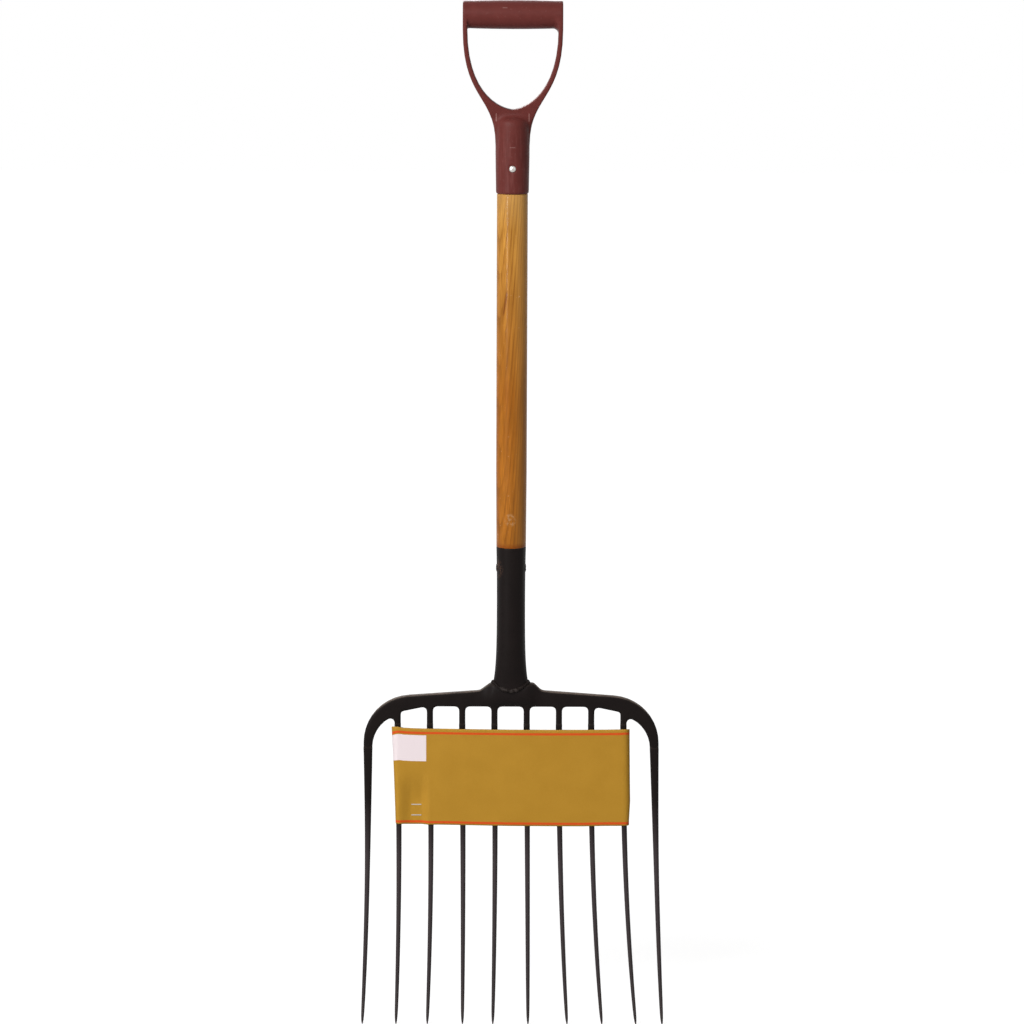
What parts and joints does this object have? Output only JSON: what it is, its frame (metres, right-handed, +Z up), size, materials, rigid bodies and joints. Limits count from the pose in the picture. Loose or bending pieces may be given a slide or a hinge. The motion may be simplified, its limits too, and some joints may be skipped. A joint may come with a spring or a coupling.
{
  "type": "ensilage fork",
  "caption": "Ensilage fork with a wide head of long dished tines, a socketed wooden shaft and a moulded D-grip, hanging from a peg.",
  "frame": {"origin": "where a peg carries the fork: on the underside of the grip's bar, in the middle of its length and depth", "axes": "+Z up along the shaft towards the grip, +X to the right in the front view, -Y to the front, where the hollow side of the tines faces"},
  "size_m": [0.389, 0.0929, 1.3046],
  "materials": {
    "enamel": "black enamel, semi-gloss",
    "ash": "clear varnish, satin",
    "grip_plastic": "moulded burgundy polypropylene, satin",
    "rivet_steel": "bright, burnished",
    "card": "printed, satin",
    "staple_wire": "plated wire"
  },
  "bodies": {
    "root": {"crossbar": "enamel", "tine_01": "enamel", "tine_02": "enamel", "tine_03": "enamel", "tine_04": "enamel", "tine_05": "enamel", "tine_06": "enamel", "tine_07": "enamel", "tine_08": "enamel", "tine_09": "enamel", "tine_10": "enamel", "socket": "enamel", "socket_weld": "enamel", "socket_rivet": "enamel", "shaft": "ash", "d_grip": "grip_plastic", "grip_rivet": "rivet_steel", "card_sleeve": "card", "staple_upper": "staple_wire", "staple_lower": "staple_wire"}
  },
  "joints": []
}
